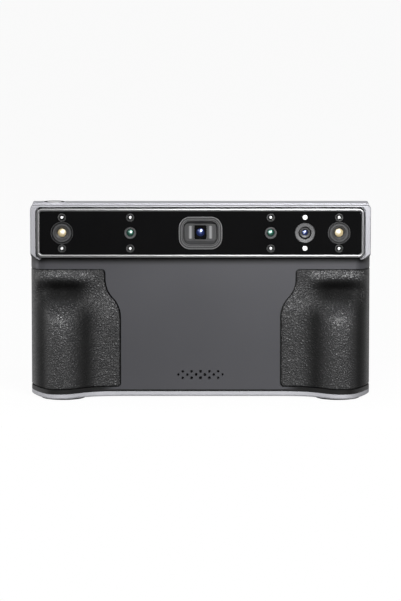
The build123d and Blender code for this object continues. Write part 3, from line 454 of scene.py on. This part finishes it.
# %% Bezel ring
BEZEL_CORNER = 3.5
WINDOW_Z = (BEZEL_LOW + BEZEL_TOP) / 2
INWARD = np.array([0.0, 0.0, 0.08, 0.3, 0.7, 1.1, 1.5, 1.8, 1.97, 2.05, 2.05])
DEPTH = BEZEL_FRONT + np.array([5.0, 0.8, 0.45, 0.18, 0.05, 0.0, 0.03, 0.13, 0.3, 0.6, 2.5])


def ring_points(corner_steps):
    """A profile carried round a rounded rectangle: corner centres plus arcs of the radius left over."""
    quarter = np.linspace(0.0, math.pi / 2, corner_steps)
    angle = np.concatenate([quarter + turn * math.pi / 2 for turn in range(4)])
    side_x = np.repeat([1.0, -1.0, -1.0, 1.0], corner_steps) * (BEZEL_HALF - BEZEL_CORNER)
    side_z = np.repeat([1.0, 1.0, -1.0, -1.0], corner_steps) * (BEZEL_TOP - WINDOW_Z - BEZEL_CORNER)
    left_over = BEZEL_CORNER - INWARD
    x = side_x[:, None] + left_over * np.cos(angle)[:, None]
    z = WINDOW_Z + side_z[:, None] + left_over * np.sin(angle)[:, None]
    return np.stack([x, np.broadcast_to(DEPTH, x.shape), z], axis=-1)


bezel = sheet("bezel_ring", ring_points(10) * MM, closed=True)
bezel_metal = bright_metal("bright_bezel", 0.30, 0.38)
# Painted shade: the outer wall of the ring is painted near black.
wall_shade = bezel_metal.axis(1).rise(BEZEL_FRONT + 0.15, BEZEL_FRONT + 0.35)
bezel_metal.colour(bezel_metal.mix(wall_shade, bezel_metal.tone, grey(0.01)))
bezel.data.materials.append(bezel_metal.material)
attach(bezel, "scanner_body")
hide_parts("window_bezel")
dress(bezel_metal, "window_bezel")
print("bezel", len(bezel.data.polygons), "quads")

# %% [markdown]
# The window is glass with black ink behind it. Seen square on it hardly reflects, so its gloss is
# weak, and faint wiping marks sit in its roughness.


# %% Glass and moulded plastic
def black_glass(name, level, gloss):
    """Black glass with faint wiping marks."""
    finish = Finish(name, Specular_IOR_Level=gloss)
    marks = finish.noise(18.0, 4.0)
    finish.colour(finish.mix(marks, grey(level, 0.05), grey(level * 1.25, 0.05)))
    finish.rough(0.04 + 0.06 * marks)
    return finish


def moulded(name, level, rough, tint=0.03):
    """Moulded plastic or rubber with a fine grain."""
    finish = Finish(name, Specular_IOR_Level=0.35)
    grain = finish.noise(0.3, 3.0)
    finish.colour(finish.mix(grain, grey(level * 0.85, tint), grey(level * 1.15, tint)))
    finish.rough(rough + 0.12 * grain)
    finish.bump(grain, 0.01, 0.4)
    return finish


dress(black_glass("black_window", 0.0037, 0.08), "window_plate")
dress(black_glass("screen_glass", 0.006, 0.4), "screen_glass")
dress(black_glass("display_panel", 0.004, 0.3), "screen_panel")
dress(moulded("lens_holder", 0.02, 0.4), "sensor_holders", "speaker")
dress(black_glass("projector_nose", 0.0035, 0.2), "projector_nose")
dark_metal = moulded("dark_metal", 0.05, 0.4)
dress(dark_metal, "hinge_bracket_left", "hinge_bracket_right", "scan_switch", "power_switch")
dress(moulded("speaker_cloth", 0.004, 0.8), "speaker_mesh")
dress(moulded("foot_rubber", 0.010, 0.6), "left_foot", "right_foot")

# %% [markdown]
# Each camera is a set of rings about its own axis. The finish measures the distance from that axis
# and gives each ring its own tone: a bright edge, a dark groove, a grey barrel. Pairs of cameras
# share one finish, because the distance is measured from the middle first.


# %% Rings about an axis
def grained(finish, grain, level, spread=0.15):
    """A grey that the grain makes a little darker or lighter."""
    return finish.mix(grain, grey(level * (1.0 - spread), 0.03), grey(level * (1.0 + spread), 0.03))


def ringed(name, across, rings, blur=0.06):
    """Tones by distance from an axis: each ring is a radius in mm, and the grey inside it."""
    finish = Finish(name, Specular_IOR_Level=0.4)
    radius = finish.radius((0, 2), (across, WINDOW_Z), mirrored=True)
    grain = finish.noise(0.3, 3.0)
    tone = grained(finish, grain, rings[0][1])
    for edge, level in rings[1:]:
        outside = radius.rise(edge - blur, edge + blur)
        tone = finish.mix(1.0 - outside, tone, grained(finish, grain, level))
    finish.colour(tone)
    finish.rough(0.3 + 0.15 * grain)
    return finish


FAR, NEAR, COLOUR = (middle(lens)[0] for lens in ("far_lens_right", "near_lens_right", "colour_lens"))
print("cameras at", FAR, NEAR, COLOUR, "mm from the middle")
far_rings = ((9.0, 0.032), (6.45, 0.004), (5.6, 0.052), (4.6, 0.016), (4.3, 0.045), (3.3, 0.012))
near_rings = ((9.0, 0.04), (3.3, 0.08), (2.6, 0.03))
colour_rings = ((9.0, 0.075), (5.9, 0.105), (4.0, 0.005), (3.0, 0.08), (2.3, 0.012))
dress(ringed("far_barrel", FAR, far_rings), "far_barrel_left", "far_barrel_right")
dress(ringed("near_barrel", NEAR, near_rings), "near_barrel_left", "near_barrel_right")
dress(ringed("colour_barrel", COLOUR, colour_rings), "colour_barrel")

# %% [markdown]
# The lamps stand in two rows, and folding the coordinates by size alone brings every one of them
# onto one centre: the distance from the middle, less the mean of the columns, and so on. A lamp is
# a bright chip in a dark dome, inside a thin ring.


# %% Lamps of the cameras
LAMPS_RIGHT, _, LAMPS_TOP = span("infrared_leds")[1]
DOME = LAMPS_RIGHT - FAR
LAMP_RISE = LAMPS_TOP - DOME - WINDOW_Z
CHIP, SLEEVE = 0.72, 1.95


def lamp_radius(finish):
    """Distance from the nearest small lamp."""
    mean, half = (FAR + NEAR) / 2, (FAR - NEAR) / 2
    across = ((finish.axis(0).absolute() - mean * MM).absolute() - half * MM).absolute()
    up = (finish.axis(2) - WINDOW_Z * MM).absolute() - LAMP_RISE * MM
    return (across * across + up * up).power(0.5)


def chip_lamp():
    """A bright chip in a dark clear dome."""
    finish = Finish("infrared_lamp", Specular_IOR_Level=0.5)
    radius = lamp_radius(finish)
    cloud = finish.noise(0.8, 2.0)
    chip = finish.mix(cloud, grey(0.80), grey(0.95))
    finish.colour(finish.mix(radius.rise(CHIP, CHIP + 0.26), chip, grey(0.012)))
    finish.rough(0.15 + 0.1 * cloud)
    return finish


def thin_ring():
    """A black sleeve with a thin grey edge."""
    finish = Finish("lamp_ring", Specular_IOR_Level=0.3)
    radius = lamp_radius(finish)
    grain = finish.noise(0.3, 2.0)
    edge = radius.rise(SLEEVE, SLEEVE + 0.1)
    finish.colour(finish.mix(edge, grey(0.010), finish.mix(grain, grey(0.06), grey(0.08))))
    finish.rough(0.35 + 0.15 * grain)
    return finish


def white_lamp():
    """A milky white flash lamp with a painted glow: a faint emission though it is not lit."""
    finish = Finish("flash_lamp", Specular_IOR_Level=0.5, Emission_Strength=0.35)
    cloud = finish.noise(1.0, 2.0)
    milk_and_glow = finish.mix(cloud, grey(0.88, -0.01), grey(0.95))
    finish.colour(milk_and_glow)
    # Painted glow: the milky colour is also fed to the emission.
    finish.tree.links.new(milk_and_glow, finish.shader.inputs["Emission Color"])
    finish.rough(0.25 + 0.1 * cloud)
    return finish


dress(chip_lamp(), "infrared_leds")
dress(thin_ring(), "led_rings")
dress(white_lamp(), "flash_leds")
print("lamps", round(LAMP_RISE, 2), "mm above and below the cameras")

# %% [markdown]
# A coated lens shows its coating as a colour and a dark edge. A pale painted reflection and a painted
# glare lie on one side, round a soft spot a third of the way out, so they stay with the lens when the part
# turns.


# %% Coated lenses
GLARE_IN, GLARE_UP = 0.22, 0.25


def coated(name, lens, deep, pale_reflection, painted_glare, metallic=0.3):
    """A coating colour that a painted reflection turns pale towards a painted glare spot, with a dark edge.
    """
    finish = Finish(name, Metallic=metallic, Specular_IOR_Level=0.6, Coat_Weight=0.6)
    across = middle(lens)[0]
    edge = span(lens)[1][0] - across
    out = finish.radius((0, 2), (across, WINDOW_Z), mirrored=True) / (edge * MM)
    glare_spot_centre = (across - GLARE_IN * edge, WINDOW_Z + GLARE_UP * edge)
    glare_spot = finish.radius((0, 2), glare_spot_centre, mirrored=True) / (edge * MM)
    flaw = finish.noise(edge * 0.7, 2.0)
    # Painted reflection and glare: the colour turns pale, then near white, round a spot on one side.
    shade = finish.mix((glare_spot + 0.5 * flaw).step(0.35, 1.15), pale_reflection, deep)
    shade = finish.mix((glare_spot + 0.25 * flaw).step(0.30, 0.60), painted_glare, shade)
    finish.colour(finish.mix(out.step(0.90, 1.0), shade, grey(0.02)))
    finish.rough(0.10 + 0.08 * flaw)
    return finish


# Each coating: its own colour, then the painted reflection, then the painted glare.
GOLD = ((0.50, 0.40, 0.22, 1.0), (0.90, 0.84, 0.66, 1.0), (1.0, 1.0, 0.96, 1.0))
GREEN = ((0.010, 0.060, 0.042, 1.0), (0.11, 0.30, 0.23, 1.0), (0.62, 0.80, 0.74, 1.0))
BLUE = ((0.015, 0.025, 0.10, 1.0), (0.13, 0.18, 0.48, 1.0), (0.72, 0.80, 0.98, 1.0))
gold_lens = coated("gold_lens", "far_lens_right", *GOLD, metallic=0.1)
dress(gold_lens, "far_lens_left", "far_lens_right")
dress(coated("green_lens", "near_lens_right", *GREEN), "near_lens_left", "near_lens_right")
for lens in ("colour_lens", "projector_lens"):
    dress(coated(lens, lens, *BLUE), lens)

# %% [markdown]
# The projector sits in stepped rounded rims. Their distance from a rounded rectangle is the same
# all the way round, so bands of that distance give painted highlights on the thin edges of each step, with
# painted shade between them.


# %% Projector surround
RIM_HALF, _, RIM_TOP = span("projector_rim")[1]
RIM_CORNER = 7.0
RIM_STEPS = ((0.45, 0.010), (1.2, 0.09), (1.75, 0.02), (2.3, 0.08), (2.75, 0.02), (3.2, 0.04))
BAR_HALF = 1.1
BAR_X = span("light_bars")[1][0] - BAR_HALF


def stepped_rim(blur=0.08):
    """Dark satin with a painted highlight on the edge of each step and painted shade between: a depth in mm,
    and the grey past it.
    """
    finish = Finish("projector_rim", Specular_IOR_Level=0.4)
    across = (finish.axis(0).absolute() - (RIM_HALF - RIM_CORNER) * MM).larger(0.0)
    height = (finish.axis(2) - WINDOW_Z * MM).absolute()
    up = (height - (RIM_TOP - WINDOW_Z - RIM_CORNER) * MM).larger(0.0)
    depth = RIM_CORNER * MM - (across * across + up * up).power(0.5)
    grain = finish.noise(0.3, 3.0)
    tone = finish.mix(grain, grey(0.14, 0.02), grey(0.17, 0.02))
    # Painted highlights and shade: each step paints a bright edge or a dark band onto the rim.
    for edge, level in RIM_STEPS:
        inner = depth.rise(edge - blur, edge + blur)
        tone = finish.mix(inner, tone, grained(finish, grain, level, 0.12))
    finish.colour(tone)
    finish.rough(0.35 + 0.15 * grain)
    return finish


def lit_bar():
    """Grey diffuser with a brighter line down its middle."""
    finish = Finish("light_bar", Specular_IOR_Level=0.4)
    away = (finish.axis(0).absolute() - BAR_X * MM).absolute()
    grain = finish.noise(0.5, 2.0)
    finish.colour(finish.mix(away.rise(0.2, 1.0), grey(0.22, 0.02), grey(0.10, 0.02)))
    finish.rough(0.35 + 0.2 * grain)
    return finish


dress(stepped_rim(), "projector_rim")
dress(lit_bar(), "light_bars")

# %% [markdown]
# Parts inside are hardly seen, but they keep honest finishes: boards with copper tracks, brushed
# metal, a wrapped battery.


# %% Inner parts
def circuit_board():
    """Green solder mask with tracks where the cells of a pattern meet."""
    finish = Finish("circuit_board", Specular_IOR_Level=0.5)
    tracks = finish.cells(2.5, "DISTANCE_TO_EDGE")
    finish.colour(finish.mix(tracks.step(0.05, 0.12), (0.10, 0.20, 0.08, 1.0), (0.012, 0.07, 0.03, 1.0)))
    finish.rough(0.35 + 0.2 * tracks)
    return finish


def metal(name, colour, rough):
    """Bare metal with streaks."""
    finish = Finish(name, Metallic=1.0)
    streak = finish.noise(0.5, 4.0)
    dark = tuple(0.8 * part for part in colour[:3]) + (1.0,)
    finish.colour(finish.mix(streak, dark, colour))
    finish.rough(rough + 0.15 * streak)
    return finish


boards = [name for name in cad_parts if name.endswith(("_board", "_boards"))]
dress(circuit_board(), *boards)
screws = [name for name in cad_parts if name.endswith("_screws")]
dress(metal("steel", grey(0.45), 0.25), *screws, "hinge_pins", "usb_socket")
dress(metal("bare_aluminium", grey(0.62), 0.35), "shield_can", "heat_spreader", "optics_bracket")
dress(metal("brass_insert", (0.62, 0.43, 0.16, 1.0), 0.25), "tripod_insert")
dress(moulded("battery_wrap", 0.03, 0.3, 0.3), "battery_pack")

# %% [markdown]
# The grips are over-moulded rubber: one skin that swells into a column for the palm, dips into a
# hollow for the finger, and ends in an S-shaped edge. The skin is one surface of two numbers, the
# way round the section and the height. A smooth curve goes through eleven stations of the section,
# and bulge and hollow fade with height. Above the hollow stands a soft lip, and a narrow seam parts
# the skin from the panel.

# %% Grip stations
REACH, SIDE_DEPTH, HOLLOW, LIP = PANEL_Y - GRIP_FRONT, 13.0, 5.5, 1.4
NECK_X, NECK_Z, FOOT_Z, CORNER, SEAM = 59.1, 74.3, 50.3, 2.0, 0.45
ROLL_WIDTH, ROLL_DROP = 0.9, 0.55
INBOARD = np.array([0.0, 1.6, 4.6, 8.3, 12.2, 17.5, 24.0, 30.5, 37.0, 46.0, 57.0])
ROUND = np.array([1.0, 0.52, 0.13, 0.01, 0.0, 0.0, 0.0, 0.0, 0.0, 0.0, 0.0])
BULGE = np.array([0.0, 0.0, 0.22, 0.61, 0.90, 1.0, 0.89, 0.56, 0.24, 0.05, 0.0])
DIP = np.array([0.0, 0.10, 0.40, 0.75, 1.0, 1.0, 0.95, 0.60, 0.18, 0.0, 0.0])


def smooth(share):
    """A step that starts and ends level, from 0 to 1."""
    held = np.clip(share, 0.0, 1.0)
    return held * held * (3.0 - 2.0 * held)


def mound(place, low, high, fade):
    """One between two limits, falling smoothly to nought over a fade beyond each."""
    return smooth((place - low) / fade + 1.0) * smooth((high - place) / fade + 1.0)


def spline_basis(knots, places):
    """Natural cubic spline: a matrix that turns values at the knots into values at the places."""
    count = len(knots)
    gap = np.diff(knots)
    left = np.eye(count)
    right = np.zeros((count, count))
    for row in range(1, count - 1):
        left[row, row - 1:row + 2] = gap[row - 1], 2.0 * (gap[row - 1] + gap[row]), gap[row]
        right[row, row - 1:row + 2] = 6.0 / gap[row - 1], -6.0 / gap[row - 1] - 6.0 / gap[row], 6.0 / gap[row]
    bend = np.linalg.solve(left, right)
    cell = np.clip(np.searchsorted(knots, places) - 1, 0, count - 2)
    width = gap[cell][:, None]
    low = ((knots[cell + 1] - places)[:, None]) / width
    high = 1.0 - low
    unit = np.eye(count)
    value = low * unit[cell] + high * unit[cell + 1]
    value += ((low**3 - low) * bend[cell] + (high**3 - high) * bend[cell + 1]) * width**2 / 6.0
    return value


def inner_edge(z):
    """Where the grip ends towards the middle: two arcs that meet, and rounded corners."""
    rise, run = NECK_Z - FOOT_Z, NECK_X - FOOT_X
    bend = (rise**2 + run**2) / (4.0 * run)
    up = np.clip(z - FOOT_Z, 0.0, rise)
    first = bend - np.sqrt(bend**2 - np.minimum(up, rise / 2) ** 2)
    second = bend - np.sqrt(bend**2 - np.minimum(rise - up, rise / 2) ** 2)
    curve = np.where(up < rise / 2, first, run - second)
    ends = np.minimum(np.minimum(z - GRIP_LOW, GRIP_TOP - z), CORNER)
    return FOOT_X + curve + CORNER - np.sqrt(CORNER**2 - (CORNER - ends) ** 2)


def edge_spread(count):
    """Numbers from 0 to 1 that lie closer together at both ends."""
    even = np.linspace(0.0, 1.0, count)
    return even - 0.9 * np.sin(2.0 * math.pi * even) / (2.0 * math.pi)


# %% Grip skin
def grip_points(rows, columns):
    """The right grip: spline sections carried up the height, rolled in at the edges."""
    z = GRIP_LOW + (GRIP_TOP - GRIP_LOW) * edge_spread(rows)
    knots = np.concatenate([[0.0], np.cumsum(np.hypot(np.diff(INBOARD), SIDE_DEPTH * np.diff(ROUND)))])
    fine = np.linspace(0.0, knots[-1], 2000)
    fine_x = HALF - spline_basis(knots, fine) @ INBOARD
    end = np.interp(-inner_edge(z), -fine_x, fine) - SEAM
    back = PARTING_Y - (PANEL_Y + SIDE_DEPTH)
    way = -back + (end[:, None] + back) * edge_spread(columns)[None, :]
    basis = spline_basis(knots, np.clip(way, 0.0, None).ravel())
    fade = np.clip((z - (GRIP_TOP - 32.5)) / 18.0, 0.0, 1.0)
    bulge = 1.0 - fade**3 * (10.0 - 15.0 * fade + 6.0 * fade**2)
    dip = smooth((z - (GRIP_TOP - 23.0)) / 9.5) * (1.0 - smooth((z - (GRIP_TOP - 13.5)) / 10.5))
    parts = [(basis @ values).reshape(way.shape) for values in (INBOARD, ROUND, BULGE, DIP)]
    x = HALF - parts[0]
    y = PANEL_Y + SIDE_DEPTH * parts[1] - REACH * parts[2] * bulge[:, None] + HOLLOW * parts[3] * dip[:, None]
    lip = smooth((GRIP_TOP - 0.5 - z) / 5.5) * smooth((z - (GRIP_TOP - 13.0)) / 6.0)
    y -= LIP * lip[:, None] * mound(parts[0], 6.0, 34.0, 7.0)
    y += np.clip(-way, 0.0, None)
    points = np.stack([x, y, np.broadcast_to(z[:, None], x.shape)], axis=-1)
    normal = np.cross(np.gradient(points, axis=1), np.gradient(points, axis=0))
    normal /= np.linalg.norm(normal, axis=-1, keepdims=True)
    rim = np.minimum(end[:, None] - way, np.minimum(z - z[0], z[-1] - z)[:, None])
    roll = 1.0 - np.clip(rim / ROLL_WIDTH, 0.0, 1.0)
    drop = ROLL_DROP * (1.0 - np.sqrt(1.0 - roll**2))
    return points + normal * drop[..., None], parts[0], way


def hill(place, centre, width, power=2):
    """One at the centre, falling off as a bell: e to the minus distance in widths, to a power."""
    return np.exp(-(np.abs(place - centre) / width) ** power)


def sheen_and_shade_map(points, inboard, way):
    """Painted sheen and shade at each point: a plain level, plus hills on crests, minus hills in hollows."""
    z = points[..., 2]
    hollow = hill(inboard, 21.0, 13.0, 4) * hill(z, 66.5, 6.5, 4)
    furrow = hill(inboard, 34.0, 5.5) * (1.0 - smooth((z - 50.0) / 14.0))
    shoulder = hill(inboard, 6.8, 3.2) * (1.0 - 0.6 * smooth((z - 66.0) / 8.0))
    crest = hill(inboard, 50.0, 9.0) * hill(z, 61.0, 9.0)
    column = hill(inboard, 19.0, 8.0) * hill(z, 50.0, 12.0)
    ledge = mound(z, 74.5, 78.0, 2.0) * mound(inboard, 6.0, 32.0, 9.0)
    rim = hill(inboard, 0.6, 2.2)
    # Painted sheen on the crests, the column, the ledge and the rim; painted shade in the hollow, the furrow
    # and the shoulder.
    painted_sheen = PLAIN + (1.0 - PLAIN) * np.max([crest, column, ledge, rim], axis=0)
    painted_shade = PLAIN * np.max([hollow, 0.8 * furrow, 0.7 * shoulder], axis=0)
    return np.clip(painted_sheen - painted_shade, 0.0, 1.0) * (way > -1.0)


PLAIN = 0.62
skin, inboard, way = grip_points(rows=150, columns=190)
sheen_and_shade = sheen_and_shade_map(skin, inboard, way)
print("grip reaches", skin.reshape(-1, 3).min(axis=0).round(2), skin.reshape(-1, 3).max(axis=0).round(2))

# %% [markdown]
# The rubber has a leather grain: little pebbles of uneven size with furrows between. The distance
# to the edge of random cells makes the pebbles, and finer noise roughens them. Sheen and shade are
# painted on: the crests lighter and glossier, the hollow dark and matt. That is no pattern but a place
# on the grip, so it is stored on the points of the skin as an attribute, and the finish mixes a lit glossy
# layer and a dark matt layer by it.


# %% Leather-grain rubber
def leather_rubber():
    """Black rubber with pebbles that catch the light."""
    finish = Finish("leather_rubber", Specular_IOR_Level=1.0)
    wander = finish.node("ShaderNodeTexNoise", None, {"Vector": finish.place, "Scale": 900.0})
    shift = finish.node("ShaderNodeVectorMath", {"operation": "SCALE"}, {0: wander.outputs[1], 3: 0.0005})
    moved = finish.node("ShaderNodeVectorMath", {"operation": "ADD"}, {0: finish.place, 1: shift.outputs[0]})
    pebble = finish.cells(1.6, "DISTANCE_TO_EDGE", moved.outputs[0]).step(0.0, 0.4)
    fine = finish.noise(0.5, 3.0)
    height = pebble * 0.8 + fine * 0.35
    painted_light = Value(finish, finish.node("ShaderNodeAttribute", {"attribute_name": "sheen_and_shade"}).outputs["Fac"])
    # Painted sheen and shade: the colour runs from near black where the map is low to dark grey where it is
    # high.
    finish.colour(finish.mix(height * painted_light, grey(0.002, 0.09), grey(0.042, 0.09)))
    finish.rough(0.72 - 0.36 * painted_light - 0.10 * pebble + 0.06 * fine)
    finish.bump(height, 0.50, 1.0)
    # Painted shade: a near-black matt layer takes over where the map is low.
    painted_shade = finish.node("ShaderNodeBsdfDiffuse", None, {"Color": grey(0.005)})
    layers = {0: 0.1 + 0.9 * painted_light, 1: painted_shade.outputs[0], 2: finish.shader.outputs[0]}
    finish.show(finish.node("ShaderNodeMixShader", None, layers))
    return finish


SKIN = 1.5
leather = leather_rubber()
for name, sign in (("left", -1.0), ("right", 1.0)):
    points = skin * MM * np.array([sign, 1.0, 1.0])
    grip = sheet(f"grip_skin_{name}", points if sign < 0 else points[:, ::-1])
    # Painted sheen and shade, stored on the points of the skin for the finish.
    painted_light = grip.data.attributes.new("sheen_and_shade", "FLOAT", "POINT")
    painted_light.data.foreach_set("value", (sheen_and_shade if sign < 0 else sheen_and_shade[:, ::-1]).ravel())
    shell = grip.modifiers.new("shell", "SOLIDIFY")
    shell.thickness = SKIN * MM
    shell.offset = -1.0
    grip.data.materials.append(leather.material)
    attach(grip, "scanner_body")
    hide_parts(f"{name}_grip")
    dress(leather, f"{name}_grip")
    print(grip.name, len(grip.data.polygons), "quads")

# %% [markdown]
# Last, the solids that still have no finish are listed, to show that none was forgotten.

# %% Solids without a finish
slots = {name: piece.material_slots[0] for name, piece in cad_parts.items()}
print("undressed:", [name for name, slot in slots.items() if slot.link == "DATA"])
